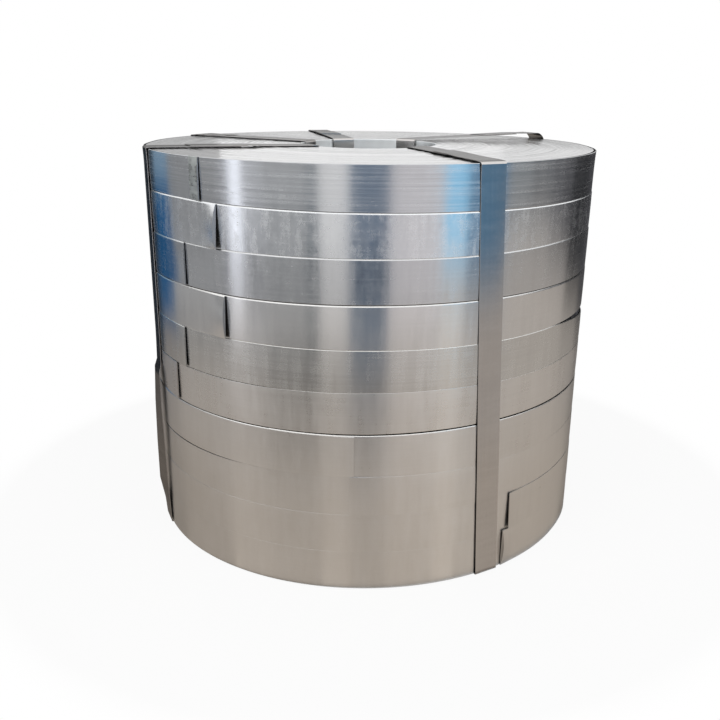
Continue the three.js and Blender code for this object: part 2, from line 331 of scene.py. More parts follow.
# The rolled upper edge, as (depth, drop) shares of its size.
ROLLED_EDGE = [(0.0, 1.0), (0.03, 0.93), (0.92, 0.10), (1.0, 0.0)]
BACK_DROP = 0.00005  # how far the back's upper edge lies under the front's
BACK_FACE = 5  # the back's place in a section, counted from its end
ROW_ROOM = 0.0002  # between the rows of a strip's face and its rounded edges
FOOT_EASE = 0.3  # where the rounding of the lower edge is broken, as a share of its radius
# Heights of the rows of a strip's face: near each edge, and as parts of the width between.
NEAR_ROWS = [STRIP_EDGE, 0.0012, 0.003, 0.007, 0.014]
MIDDLE_ROWS = (0.28, 0.39, 0.5, 0.61, 0.72)


def strip_section(height, across, rolled=STRIP_EDGE, foot=STRIP_EDGE):
    """The closed section of a strip on edge, as (depth, height) pairs: depth is how far a point
    lies in from the strip's shown face. It goes up the shown face and down the back."""
    low, high = foot + ROW_ROOM, height - rolled - ROW_ROOM
    points = [(0.0, foot)] + [(0.0, z) for z in across if low < z < high]
    lean = min(1.0, BEVEL_DEPTH / rolled)
    for depth, drop in ROLLED_EDGE:
        points.append((rolled * depth * lean, height - rolled * drop))
    points += [(STRIP_THICKNESS, height - BACK_DROP), (STRIP_THICKNESS, STRIP_EDGE)]
    points += [(STRIP_THICKNESS - STRIP_EDGE, 0.0), (foot, 0.0), (foot * FOOT_EASE, foot * FOOT_EASE)]
    return np.array(points)


def strip_rows(height):
    """Heights of the rows of a strip's face, closer together near both edges."""
    middle = [height * part for part in MIDDLE_ROWS]
    return NEAR_ROWS + middle + [height - value for value in reversed(NEAR_ROWS)]


# The places of a coil's materials. The fourth, on the outer wrap's back, is a dark steel that paints in
# the shade in the gaps under the wrap.
WALL, ENDS, BORE, SHADED_BACK, SCUFFED = range(5)


def add_wrap(parts, section, azimuths, radii, lower, upper, inward, number, behind, bevel=None):
    """A strip swept round the axis. Radii gives the shown face's radius at each azimuth and
    section point, and the strip's depth goes inward (1) or outward (-1) from there. The section
    is stretched between the lower and the upper edge's height at each azimuth. Number is the
    material of the shown face and behind that of the back. Bevel gives the rolled edge's size at
    each azimuth, where it changes."""
    directions = np.array([outward(azimuth) for azimuth in azimuths])
    depth = np.repeat(section[None, :, 0], len(azimuths), axis=0)
    share = np.repeat(section[None, :, 1], len(azimuths), axis=0) / section[:, 1].max()
    if bevel is not None:
        last = len(section) - BACK_FACE
        edge = slice(last - len(ROLLED_EDGE), last)
        depths, drops = np.array(ROLLED_EDGE).T
        depth[:, edge] = np.minimum(bevel, BEVEL_DEPTH)[:, None] * depths
        share[:, edge] = 1 - bevel[:, None] * drops / section[:, 1].max()
    reach = radii - inward * depth
    points = directions[:, None, :] * reach[:, :, None]
    points[:, :, 2] = lower[:, None] * (1 - share) + upper[:, None] * share
    along = np.radians(np.abs(azimuths - azimuths[0])) * abs(radii.mean())
    first, count = len(parts.numbers), len(section)
    parts.sweep(points, along, section, number)
    for k in range(first + count - BACK_FACE, first + (len(azimuths) - 1) * count, count):
        parts.numbers[k] = behind


def crushed_by(index, azimuths):
    """How far the rim of a coil is pressed down at each azimuth."""
    damage = CRUSHED.get(index)
    if damage is None:
        return np.zeros(len(azimuths))
    start, deepest, end = damage["azimuths"]
    rising = np.clip((wrapped(azimuths) - start) / (deepest - start), 0, 1)
    falling = np.clip((end - wrapped(azimuths)) / (end - deepest), 0, 1)
    return damage["depth"] * np.sin(math.pi / 2 * np.minimum(rising, falling) ** CRUSH_POWER)


WRAP_STEP = 0.9  # degrees between the stations of an outer wrap
FLAP_ROWS = 14  # stations on its flap
SPRING_POWER = 1.6  # how late a flap leaves the turn below
WARP_WAVES = 3.3  # ripples over the height of a flap
DENTS_BY = 30  # degrees from the tucked start over which the dents come in
# The outer wrap's dents: seed of the first coil, depth, and the numbers of waves round the coil.
BROAD_DENTS = (100, 0.00035, (3, 5, 7, 11, 17))
EDGE_BOWS = (200, 0.0005, (2, 3, 6, 9, 13))  # at the strip's edges, and none in its middle
SHORT_DENTS = (250, 0.00016, (23, 31, 47, 61))


def wall_radius(azimuths):
    """The radius of the outermost turn: the coils are a little out of round."""
    radius = np.full(len(azimuths), OUTER_RADIUS)
    for middle, rise, spread in OUT_OF_ROUND:
        off = np.abs(wrapped(np.asarray(azimuths) - middle)) / spread
        radius += rise * (0.5 + 0.5 * np.cos(np.pi * np.minimum(off, 1.0)))
    return radius


def dents_of(index, azimuths, part):
    """How far out the dents leave the outer wrap's face, by azimuth and part of its width."""
    def depth(kind):
        seed, deepest, waves = kind
        return deepest * ripple(seed + index, waves)(azimuths, part)

    bows = depth(EDGE_BOWS) * (2 * part[None, :] - 1) ** 2
    return -depth(BROAD_DENTS) - bows - depth(SHORT_DENTS)


def outer_wrap(parts, coil, index):
    """The outermost turn: it starts tucked under its own end and spirals out by one thickness to
    the free tail, which springs off the turn below."""
    flap = math.degrees(coil["flap"] / OUTER_RADIUS)
    turned = np.concatenate([
        np.arange(-TUCKED, 360 - flap, WRAP_STEP),
        np.linspace(360 - flap, 360, FLAP_ROWS),
    ])
    azimuths = coil["tail"] + coil["turn"] * turned
    height = coil["wall"]
    section = strip_section(height, strip_rows(height), coil["rolled"], coil["foot"])
    part = section[:, 1] / height
    low, middle, high = coil["lift"]
    lift = low * (1 - part) * (1 - 2 * part) + 4 * middle * part * (1 - part)
    lift = lift - high * part * (1 - 2 * part)
    sprung = np.clip((turned - (360 - flap)) / flap, 0, 1)
    spiral = wall_radius(azimuths) - STRIP_THICKNESS * np.abs(1 - turned / 360) ** SPIRAL_EASE
    dents = dents_of(index, azimuths, part)
    fixed = turned < 360 - flap
    dents = np.where(fixed[:, None], dents, dents[fixed][-1][None, :])
    dents = dents * np.clip((turned + TUCKED) / DENTS_BY, 0, 1)[:, None]
    dents = dents - coil["tuck"] * (1 - part)[None, :] - by_azimuth(azimuths, coil["inset"])[:, None]
    rippled = lift + coil["warp"] * np.sin(WARP_WAVES * 2 * math.pi * part + index)
    radii = spiral[:, None] + (sprung ** SPRING_POWER)[:, None] * rippled[None, :] + dents
    if index == 0:
        start, widest, end = LIP["azimuths"]
        flare = by_azimuth(azimuths, ((start, 0.0), (widest, LIP["width"]), (end, 0.0)))
        radii = radii + flare[:, None] * (part ** LIP["power"])[None, :]
    lower = coil["bottom"] + by_azimuth(azimuths, SEAM_SHIFTS.get(index + 1, NO_SHIFT))
    upper = coil["bottom"] + height + by_azimuth(azimuths, SEAM_SHIFTS.get(index, NO_SHIFT))
    upper = upper - by_azimuth(azimuths, coil["gap"]) - crushed_by(index, azimuths)
    bevel = np.where(fixed, coil["rolled"], coil["tail_edge"])
    add_wrap(parts, section, azimuths, radii, lower, upper, 1, WALL, SHADED_BACK, bevel)
    rows = round(coil["scuffed"] / coil["flap"] * (FLAP_ROWS - 1))
    for k in range((len(azimuths) - 1 - rows) * len(section), (len(azimuths) - 1) * len(section)):
        if parts.numbers[k] == WALL:
            parts.numbers[k] = SCUFFED


INNER_STEP = 2.0  # degrees between the stations of an inner wrap


def inner_wrap(parts, coil, start):
    """The innermost turn, whose free start shows as an upright edge in the bore."""
    turned = np.arange(0, 360 + TUCKED, INNER_STEP)
    azimuths = start + coil["turn"] * turned
    section = strip_section(coil["width"], strip_rows(coil["width"])[::2])
    spiral = BORE_RADIUS + STRIP_THICKNESS * turned / 360
    radii = spiral[:, None] * np.ones(len(section))[None, :]
    lower = np.full(len(azimuths), coil["bottom"] + coil["proud"])
    add_wrap(parts, section, azimuths, radii, lower, lower + coil["width"], -1, BORE, BORE)


TURN_STEP = 0.00004  # height of the step from one turn on an end to the next
TURN_PLAY = 0.00007  # how far single turns lie deeper than their group
SLIDE_CHANCE, SLIDE_DEPTH = 0.12, 0.00025  # that a new group of turns begins, and how deep it lies
# One turn on an end: shares of its width, and how many steps down.
TURN_PROFILE = ((0.05, 1), (0.06, 0), (0.97, 1))


def end_rings(chance, inner, outer, pitch):
    """(radius, level) pairs across one wound end: each turn steps up from the one inside it and
    falls a little outwards, and groups of turns have slid."""
    count = max(3, round((outer - inner) / pitch))
    edges = np.linspace(inner, outer, count + 1)
    rings = []
    slid = 0.0
    for before, after in zip(edges, edges[1:]):
        if chance.random() < SLIDE_CHANCE:
            slid = chance.uniform(-SLIDE_DEPTH, 0.0)
        level = slid + chance.uniform(-TURN_PLAY, 0.0)
        for share, down in TURN_PROFILE:
            rings.append((before + share * (after - before), level - down * TURN_STEP))
    return rings


FINE_PITCH, COARSE_PITCH = 0.0031, 0.028  # of the rings on shown and on hidden ends
FINE_SEGMENTS, COARSE_SEGMENTS = 224, 120  # round a coil with a shown end, and round the others
END_MARGIN = 0.0008  # from the first and last ring of an end to the wraps
END_DROP = 0.0004  # how far the body's bore side stays inside its ends
BODY_INSET = 0.0024  # room for the dents between the body and the outer wrap
MEAN_RADIUS = 0.3  # at which the ends' UVs have their true length


def add_body(parts, coil, index, start):
    """The wound turns between the inner and the outer wrap, with grooved ends."""
    chance = random.Random(300 + index)
    inner = BORE_RADIUS + 2 * STRIP_THICKNESS
    outer = OUTER_RADIUS - 2 * STRIP_THICKNESS
    steps = [FRAME_BORE_RADIUS + (FRAME_RADIUS - FRAME_BORE_RADIUS) * part for part in coil["steps"]]

    def slide_of(radius):
        return coil["proud"] * sum(step > radius for step in steps) / len(steps)

    def profile(fine, sign):
        pitch = FINE_PITCH if fine else COARSE_PITCH
        rings = end_rings(chance, inner + END_MARGIN, outer - END_MARGIN, pitch)
        face = coil["bottom"] + (coil["width"] if sign > 0 else 0.0)
        return [(radius, face + slide_of(radius) + sign * level) for radius, level in rings]

    fine_top, fine_bottom = index == 0, index == len(COILS) - 1
    top = profile(fine_top, 1)
    under = profile(fine_bottom, -1)
    loop = under + top[::-1]
    loop = [(inner, loop[0][1] + END_DROP)] + loop + [(inner, loop[-1][1] - END_DROP)]
    last_under, first_top = len(under), len(under) + 1
    segments = FINE_SEGMENTS if fine_top or fine_bottom else COARSE_SEGMENTS
    azimuths = np.linspace(0, 360, segments, endpoint=False)
    outer_radius = wall_radius(azimuths) - 2 * STRIP_THICKNESS - WRAP_GAP - BODY_INSET
    turned = np.mod(coil["turn"] * (azimuths - start), 360)
    turned_in = np.where(turned < TUCKED + INNER_STEP, turned + 360, turned)
    inner_radius = BORE_RADIUS + STRIP_THICKNESS * (1 + turned_in / 360) + WRAP_GAP
    directions = np.array([outward(azimuth) for azimuth in azimuths])
    crushed = crushed_by(index, azimuths)
    reach_in = CRUSHED[index]["reach"] if index in CRUSHED else 1.0
    rows = []
    for k, (radius, height) in enumerate(loop):
        if k in (0, len(loop) - 1):
            reach = inner_radius
        elif k in (last_under, first_top):
            reach = outer_radius
        else:
            reach = np.full(segments, radius)
        ring = directions * reach[:, None]
        pressed = max(0.0, 1 - (outer - radius) / reach_in) if k >= first_top else 0.0
        ring[:, 2] = height - crushed * pressed
        rows.append(ring)
    along = np.radians(np.append(azimuths, 360.0)) * MEAN_RADIUS
    radial = np.array([radius for radius, height in loop] + [loop[0][0]])
    uvs = np.stack(np.meshgrid(radial, along, indexing="ij"), axis=2)
    parts.grid(np.array(rows), uvs, ENDS, close_rows=True)


# The azimuth from a coil's tail to its first turn's start, and how much further it is on each coil.
START_TURN, START_SPREAD = 140, 67


def make_coil(index, materials):
    """One coil, in place of its node in the frame."""
    name = f"coil_{index + 1:02d}"
    coil = COILS[index]
    start = (coil["tail"] + START_TURN + START_SPREAD * index) % 360
    parts = MeshParts()
    outer_wrap(parts, coil, index)
    inner_wrap(parts, coil, start)
    add_body(parts, coil, index, start)
    piece = parts.build(f"{name}_strip", materials, leaning=True)
    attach(piece, "root")
    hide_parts(name)


# ---------------------------------------------------------------- straps
# A station of a strap is its middle point, the directions across and out of it, and whether it
# lies on the outer wall (1) or not (0).
BEND_STEPS = 10  # stations on a bend, after its first


def bend_stations(edge, away, up, bend, on_wall):
    """A bend over a level edge, from the level run to the upright one."""
    inset = (bend - STRAP_CLEARANCE) / math.sqrt(2)
    centre = edge - away * inset - UP * up * inset
    across = np.cross(UP, away)
    stations = []
    for i in range(BEND_STEPS + 1):
        angle = math.pi / 2 * i / BEND_STEPS
        normal = UP * up * math.cos(angle) + away * math.sin(angle)
        stations.append((centre + normal * (bend + STRAP_THICKNESS / 2), across, normal, on_wall))
    return stations


# The middles of each coil's lower and upper rims, from the foot up.
RIMS = [
    np.array([coil["middle"], 0.0, coil["bottom"] + rise])
    for coil in reversed(COILS) for rise in (0.0, coil["width"])
]


def side_bends(side):
    """The bends round the foot and over the upper rim, on the outer wall or in the bore, from the
    foot up."""
    def bend_at(azimuth, rim, height, up, bend):
        edge = outward(azimuth) * side["radius"] + np.array([rim[0], rim[1], height])
        away = outward(azimuth) * side["facing"]
        return bend_stations(edge, away, up, bend, float(side["facing"] > 0))

    low = bend_at(side["foot"], RIMS[0], STACK_BOTTOM, -1, TIGHT_BEND)
    high = bend_at(side["top"], RIMS[-1], STACK_TOP, 1, side["bend"])
    return low, high[::-1]


def upright_station(side, middle, off, twist):
    """A station at a height on the upright run, off the wall by a gap and twisted."""
    azimuth = side["foot"] + (side["top"] - side["foot"]) * part_of_height(middle[2])
    away = outward(azimuth) * side["facing"]
    along = np.cross(UP, away)
    turned = math.radians(twist)
    point = outward(azimuth) * side["radius"] + middle + away * (off + STRAP_THICKNESS / 2)
    across = along * math.cos(turned) - away * math.sin(turned)
    normal = away * math.cos(turned) + along * math.sin(turned)
    return (point, across, normal, float(side["facing"] > 0))


def tight_run(side):
    """The upright run of a strap pulled tight, which bears on the rims that stand proud."""
    rims = [upright_station(side, middle, STRAP_CLEARANCE, 0) for middle in RIMS]
    reaches = [station[0].dot(station[2]) for station in rims]

    def slope(a, b):
        return (reaches[b] - reaches[a]) / (RIMS[b][2] - RIMS[a][2])

    kept = []
    for i in range(len(rims)):
        while len(kept) > 1 and slope(kept[-2], kept[-1]) <= slope(kept[-1], i):
            kept.pop()
        kept.append(i)
    return [rims[i] for i in kept[1:-1]]


def slack_run(side, slack):
    """The upright run of a strap that hangs slack."""
    height = STACK_TOP - STACK_BOTTOM
    return [
        upright_station(side, middle_at(STACK_BOTTOM + height * part), off, twist)
        for part, off, twist in slack
    ]


def facing(stations, way):
    """The same stations, with across turned round where way is -1."""
    return [(point, across * way, normal, on_wall) for point, across, normal, on_wall in stations]


def strap_loop(strap):
    """A strap's closed way: down the bore, under the stack, up the wall and over the upper rim."""
    wall = {"foot": strap["bottom"], "top": strap["top"], "radius": FRAME_RADIUS, "facing": 1,
            "bend": strap["bend"]}
    bore_flat = FRAME_BORE_RADIUS * math.cos(math.pi / FRAME_SEGMENTS)
    chord = math.sqrt(bore_flat ** 2 - (STRAP_WIDTH / 2) ** 2)
    bore = {"foot": strap["bore"], "top": strap["bore"], "radius": chord, "facing": -1,
            "bend": BORE_BEND}
    wall_low, wall_high = side_bends(wall)
    bore_low, bore_high = side_bends(bore)
    wall_run = slack_run(wall, strap["slack"]) if "slack" in strap else tight_run(wall)
    down = (bore_low + tight_run(bore) + bore_high)[::-1]
    return facing(down, -1) + wall_low + wall_run + wall_high


TIP_OVER = 0.07  # distance from the rim and the bore over which a top run tips up in front


def strap_stations(strap):
    """The whole strip, from its lower end on the top run, once round, to its upper end."""
    loop = strap_loop(strap)
    rim, bore = loop[-1], loop[0]
    run = np.linalg.norm(rim[0] - bore[0])

    def on_top(distance, raised):
        part = distance / run
        across = rim[1] * (1 - part) + bore[1] * part
        across = across / np.linalg.norm(across)
        eased = min(1.0, distance / TIP_OVER, (run - distance) / TIP_OVER)
        tip = math.radians(strap.get("tip", 0)) * eased
        front = -math.copysign(1.0, across[1])
        tipped = across * math.cos(tip) + UP * math.sin(tip) * front
        normal = UP * math.cos(tip) - across * math.sin(tip) * front
        raised = raised + math.sin(tip) * STRAP_WIDTH / 2
        return (rim[0] * (1 - part) + bore[0] * part + UP * raised, tipped, normal, 0.0)

    way = 1 if strap["over"] > strap["under"] else -1
    room = strap["under"] if way > 0 else run - strap["under"]
    ramp = min(LAP_RAMP, room * 2 / 3)  # two thirds of the room, where it is short
    raised = STRAP_THICKNESS + LAP_CLEARANCE
    between = (run - TIP_OVER, TIP_OVER) if way > 0 else (TIP_OVER, run - TIP_OVER)
    free = [part for part in between if (part - strap["under"]) * way > 0]
    rest = [part for part in between if (strap["under"] - way * ramp - part) * way > 0]
    stations = [
        on_top(strap["under"], 0),
        *(on_top(part, 0) for part in sorted(free, reverse=way < 0)),
        *(loop if way > 0 else loop[::-1]),
        *(on_top(part, 0) for part in sorted(rest, reverse=way < 0)),
        on_top(strap["under"] - way * ramp, 0),
        on_top(strap["under"] - way * LAP_CLEARANCE, raised),
        on_top(strap["over"], raised),
    ]
    return facing(stations, way)


STATION_SPACING = 0.016  # metres along a strap, about


def filled_in(stations):
    """The same stations, with more between any two that lie far apart."""
    result = [stations[0]]
    for before, after in zip(stations, stations[1:]):
        count = max(1, round(np.linalg.norm(after[0] - before[0]) / STATION_SPACING))
        for k in range(1, count + 1):
            part = k / count
            mixed = [a * (1 - part) + b * part for a, b in zip(before, after)]
            mixed[1] = mixed[1] / np.linalg.norm(mixed[1])
            mixed[2] = mixed[2] / np.linalg.norm(mixed[2])
            result.append(tuple(mixed))
    return result


BOW_FROM = 0.03  # distance from a rim over which the strap takes the wall's curve


def pressed_on(strap, point, on_wall):
    """How far a station moves in to the wall, and how much of the wall's curve it takes."""
    if "hug" not in strap or on_wall < 1:
        return 0.0, 0.0
    places, insets = zip(*strap["hug"])
    inset = float(np.interp(part_of_height(point[2]), places, insets))
    clear = min(point[2] - STACK_BOTTOM, STACK_TOP - point[2]) / BOW_FROM
    return inset, max(0.0, min(1.0, clear)) * inset / max(insets)


STRAP_ROWS = (-0.6, -0.2, 0.2, 0.6)  # rows of its broad faces, as parts of half its width
# The strap's inner material is a dark steel that paints in the shade between the strap and the wall.
STRAP_OUTSIDE, STRAP_SHADED_FACE = 0, 1  # the places of its materials


def make_strap(name, strap, materials):
    """One strap, in place of its node in the frame."""
    stations = filled_in(strap_stations(strap))
    half, thick, edge = STRAP_WIDTH / 2, STRAP_THICKNESS / 2, STRAP_EDGE
    inner = [(half * part, -thick) for part in STRAP_ROWS]
    outer = [(-x, thick) for x, y in inner]
    section = [(-half + edge, -thick), *inner]
    section += [(half - edge, -thick), (half, -thick + edge), (half, thick - edge), (half - edge, thick)]
    section += [*outer, (-half + edge, thick), (-half, thick - edge), (-half, -thick + edge)]
    rows = []
    for point, across, normal, on_wall in stations:
        inset, curve = pressed_on(strap, point, on_wall)
        rows.append([
            point + across * x + normal * (y - inset - curve * x * x / (2 * FRAME_RADIUS))
            for x, y in section
        ])
    points = np.array(rows)
    along = lengths_along(points.mean(axis=1))
    parts = MeshParts()
    parts.sweep(points, along, section, STRAP_OUTSIDE)
    if "level" not in strap:
        count, broad = len(section), len(inner) + 1
        for k in range(0, (len(stations) - 1) * count, count):
            parts.numbers[k:k + broad] = [STRAP_SHADED_FACE] * broad
    piece = parts.build(f"{name}_band", materials, level="level" in strap)
    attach(piece, "root")
    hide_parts(name)


# ---------------------------------------------------------------- materials
NOISE_LOW, NOISE_HIGH = 0.3, 0.7  # between which nearly all of a noise lies
BUMP_DISTANCE = 0.0005


def grey(level):
    """A grey as red, green, blue and alpha."""
    return (level, level, level, 1.0)


class Nodes:
    """Adds and links nodes of one tree with few words."""

    def __init__(self, name, owner=None):
        self.owner = owner or bpy.data.materials.new(name)
        self.owner.use_nodes = True
        self.tree = self.owner.node_tree
        self.tree.nodes.clear()

    def add(self, kind, values=None, **settings):
        """A node, with its settings and what goes into it: values, or sockets to link."""
        node = self.tree.nodes.new(f"ShaderNode{kind}")
        for key, value in settings.items():
            setattr(node, key, value)
        for key, value in (values or {}).items():
            if isinstance(value, bpy.types.NodeSocket):
                self.tree.links.new(value, node.inputs[key])
            else:
                node.inputs[key].default_value = value
        return node

    def out(self, kind, values=None, **settings):
        """The first output of a new node."""
        return self.add(kind, values, **settings).outputs[0]

    def math(self, operation, a, b=0.0):
        return self.out("Math", {0: a, 1: b}, operation=operation)

    def vector(self, operation, a, b):
        return self.out("VectorMath", {0: a, 1: b}, operation=operation)

    def length(self, vector):
        return self.add("VectorMath", {0: vector}, operation="LENGTH").outputs["Value"]

    def tinted(self, colour, tone):
        return self.out("VectorMath", {0: colour, "Scale": tone}, operation="SCALE")

    def place(self):
        return self.add("NewGeometry").outputs["Position"]

    def split(self, vector):
        return self.add("SeparateXYZ", {0: vector}).outputs

    def sheet(self):
        return self.out("UVMap", uv_map="sheet")

    def noise(self, vector, scale, detail, roughness=0.5):
        values = {"Vector": vector, "Scale": scale, "Detail": detail, "Roughness": roughness}
        return self.out("TexNoise", values, noise_dimensions="3D")

    def ranged(self, value, low, high, to_low, to_high, smooth=False):
        values = {"Value": value, "From Min": low, "From Max": high, "To Min": to_low, "To Max": to_high}
        kind = "SMOOTHSTEP" if smooth else "LINEAR"
        return self.out("MapRange", values, interpolation_type=kind)

    def rise(self, value, low, high):
        """From 0 up to 1, gently, between two values."""
        return self.ranged(value, low, high, 0.0, 1.0, smooth=True)

    def swing(self, noise, less, more, base=1.0, low=NOISE_LOW):
        """A base, from so much less of it to so much more as the noise goes up."""
        return self.ranged(noise, low, NOISE_HIGH, base * (1 - less), base * (1 + more))

    def product(self, first, *others):
        for other in others:
            first = self.math("MULTIPLY", first, other)
        return first

    def mixed(self, share, first, second):
        """One colour, or another by a share of it."""
        values = {0: share, 6: first, 7: second}
        return self.add("Mix", values, data_type="RGBA").outputs[2]

    def output(self, shader, kind="Material"):
        """The finished material or world."""
        self.add(f"Output{kind}", {"Surface": shader})
        return self.owner

    def metal(self, colour, rough, anisotropic, tint, relief, strength):
        """The finished material of a metal whose gloss stretches across the rolling direction."""
        bump = {"Strength": strength, "Distance": BUMP_DISTANCE, "Height": relief}
        return self.output(self.out("BsdfPrincipled", {
            "Base Color": colour, "Metallic": 1.0, "Roughness": rough, "Anisotropic": anisotropic,
            "Specular Tint": tint, "Normal": self.out("Bump", bump),
            "Tangent": self.out("Tangent", direction_type="UV_MAP", uv_map="sheet"),
        }))


# The patterns of a strip: scale across and along the rolling direction, the noise's detail and
# roughness, the strength that it goes with, how much less and more light it gives the tint, and
# the same for the roughness, with the level of the noise from which it does.
PATTERNS = [
    ((1000.0, 4.0, 1.0), (3.0, 0.6), "lanes", (0.05, 0.05), None),
    ((210.0, 2.2, 1.0), (3.0, 0.65), "lanes", (0.10, 0.08), (0.15, 0.55, 0.35)),
    ((6.0, 55.0, 1.0), (3.0, 0.6), "smears", (0.06, 0.06), (0.15, 0.25, NOISE_LOW)),
    ((38.0, 46.0, 1.0), (4.0, 0.62), "mottle", (0.07, 0.07), (0.3, 0.9, 0.35)),
    ((120.0, 140.0, 1.0), (3.0, 0.6), "mottle", (0.07, 0.07), (0.15, 0.35, 0.35)),
    ((5.0, 3.0, 1.0), (3.0, 0.6), "wear", (0.025, 0.025), (0.04, 0.06, NOISE_LOW)),
]
FINE, SMEAR, BLOOM = 0, 2, 4  # the patterns that stand out as relief
SHEET_SHIFTS = (0.37, 1.7)  # across and along, from one seed's place in the patterns to the next
# The relief's heights: the fine pattern with no lanes, what full lanes add, bloom and smears.
FINE_HEIGHT, LANE_HEIGHT, BLOOM_HEIGHT, SMEAR_HEIGHT = 0.10, 0.12, 0.8, 0.5
STRIP_BUMP, ENDS_BUMP = 0.2, 0.01  # strengths


def strip_steel(name, tint, roughness, lanes, mottle, smears, seed, anisotropic=0.6, edge=0.72):
    """Galvanised strip. The UV runs across, then along the rolling direction, so that roll marks
    run along the strip and the gloss stretches across it. Lanes are roll marks, mottle is the
    cloudy zinc bloom and smears are wipe marks across the strip; each is a strength from 0 to 1.
    Edge is how bright the metal stays at a grazing view."""
    nodes = Nodes(name)
    shift = (SHEET_SHIFTS[0] * seed, SHEET_SHIFTS[1] * seed, 0.0)
    sheet = nodes.vector("ADD", nodes.sheet(), shift)
    strengths = {"lanes": lanes, "mottle": mottle, "smears": smears, "wear": 1.0}
    noises, tones, roughs = [], [], []
    for scale, kind, strength, shades, glosses in PATTERNS:
        strength = strengths[strength]
        noises.append(nodes.noise(nodes.vector("MULTIPLY", sheet, scale), 1.0, *kind))
        less, more = shades
        tones.append(nodes.swing(noises[-1], less * strength, more * strength))
        if glosses:
            less, more, low = glosses
            base = 1.0 if roughs else roughness
            roughs.append(nodes.swing(noises[-1], less * strength, more * strength, base, low))
    relief = nodes.math("MULTIPLY", noises[FINE], FINE_HEIGHT + LANE_HEIGHT * lanes)
    for pattern, height in ((BLOOM, BLOOM_HEIGHT * mottle), (SMEAR, SMEAR_HEIGHT * smears)):
        relief = nodes.math("ADD", relief, nodes.math("MULTIPLY", noises[pattern], height))
    colour = nodes.tinted(tint, nodes.product(*tones))
    return nodes.metal(colour, nodes.product(*roughs), anisotropic, grey(edge), relief, STRIP_BUMP)


# The rings on an end: the noise's scale along the radius, and its place.
NARROW_RINGS, WIDE_RINGS = (380.0, 0.0), (60.0, 3.0)
ENDS_STAIN = (7.0, 4.0, 0.6)  # scale, detail and roughness
# The groove's tone is painted shade: the ends darken towards the bottom of each groove between two turns.
GROOVE_AND_SHADE = (0.35, 0.6)  # between two turns: its share of half a turn, and the tone at its bottom
ENDS_TINT = (0.88, 0.88, 0.885, 1.0)  # at a grazing view


def wound_ends(name, tint, roughness, seed):
    """The slit edges of the turns, seen on end: fine rings at the pitch of the strip. The UV's
    first number is the radius."""
    nodes = Nodes(name)
    radius = nodes.split(nodes.sheet())[0]
    phase = nodes.math("FRACT", nodes.math("DIVIDE", radius, STRIP_THICKNESS))
    crown = nodes.math("PINGPONG", nodes.math("MULTIPLY", phase, 2.0), 1.0)

    def rings(scale, place):
        values = {0: nodes.math("MULTIPLY", radius, scale), 1: float(seed), 2: place}
        return nodes.noise(nodes.out("CombineXYZ", values), 1.0, 3.0, 0.65)

    narrow, wide = rings(*NARROW_RINGS), rings(*WIDE_RINGS)
    stain = nodes.noise(nodes.add("TexCoord").outputs["Object"], *ENDS_STAIN)
    groove, groove_shade = GROOVE_AND_SHADE
    # The last factor is painted shade in the grooves between the turns.
    tone = nodes.product(
        nodes.swing(narrow, 0.12, 0.08),
        nodes.swing(wide, 0.07, 0.06),
        nodes.swing(stain, 0.05, 0.04),
        nodes.ranged(crown, 0.0, groove, groove_shade, 1.0),
    )
    rough = nodes.swing(wide, 0.15, 0.15, roughness)
    return nodes.metal(nodes.tinted(tint, tone), rough, 0.2, ENDS_TINT, crown, ENDS_BUMP)


# ---------------------------------------------------------------- the object
COOL = (0.60, 0.61, 0.62)
# The lower coils' warm tint is partly painted reflection: it stands in for some of the warm floor that
# they mirror.
WARM_FLOOR_TINT = (0.60, 0.585, 0.565)
# Each coil's tint, roughness, roll lanes, mottle and smears, from the top down.
FINISHES = [
    ((0.54, 0.55, 0.56), 0.19, 0.8, 0.12, 0.2), (COOL, 0.20, 0.2, 0.42, 1.0),
    ((0.50, 0.505, 0.51), 0.20, 0.3, 0.2, 0.8), ((0.60, 0.595, 0.585), 0.21, 0.15, 0.1, 0.5),
    ((0.545, 0.54, 0.525), 0.22, 0.35, 0.06, 0.9), (WARM_FLOOR_TINT, 0.27, 0.2, 0.06, 0.6),
    (WARM_FLOOR_TINT, 0.29, 0.15, 0.1, 0.4), *[(WARM_FLOOR_TINT, 0.30, 0.1, 0.1, 0.4)] * 3,
]
ends = wound_ends("wound_turns", (0.60, 0.60, 0.60), 0.10, 1)
bore = strip_steel("bore_steel", (0.64, 0.66, 0.67), 0.45, 0.2, 0.2, 0.6, 41, 0.3)
scuffed = strip_steel("strip_scuffed", (0.42, 0.44, 0.43), 0.24, 1.0, 1.0, 0.5, 53)
# A dark steel for the outer wraps' backs and the straps' inner faces: painted shade in the gaps between
# them and the turns or the wall.
painted_shade = strip_steel("strip_painted_shade", (0.13, 0.13, 0.13), 0.50, 0.3, 0.4, 0.4, 37, 0.2, 0.2)
for index, (tint, *finish) in enumerate(FINISHES):
    wall = strip_steel(f"strip_{index + 1:02d}", tint, *finish, index + 1)
    make_coil(index, [wall, ends, bore, painted_shade, scuffed])
strap_steel = strip_steel("strap_steel", (0.46, 0.445, 0.435), 0.17, 0.2, 0.15, 0.5, 31, 0.4, 0.30)
for name, strap in STRAPS.items():
    make_strap(name, strap, [strap_steel, painted_shade])


# ---------------------------------------------------------------- camera
CAMERA_PLACE = Vector((-0.01654, -2.00842, 0.98414 + STACK_BOTTOM))
CAMERA_PITCH = 0.316868  # radians below level
CAMERA_ROLL = -0.0033075
SENSOR = 36.0
FOCAL_SHARE = 856.30 / 720  # focal length as a share of the picture's width

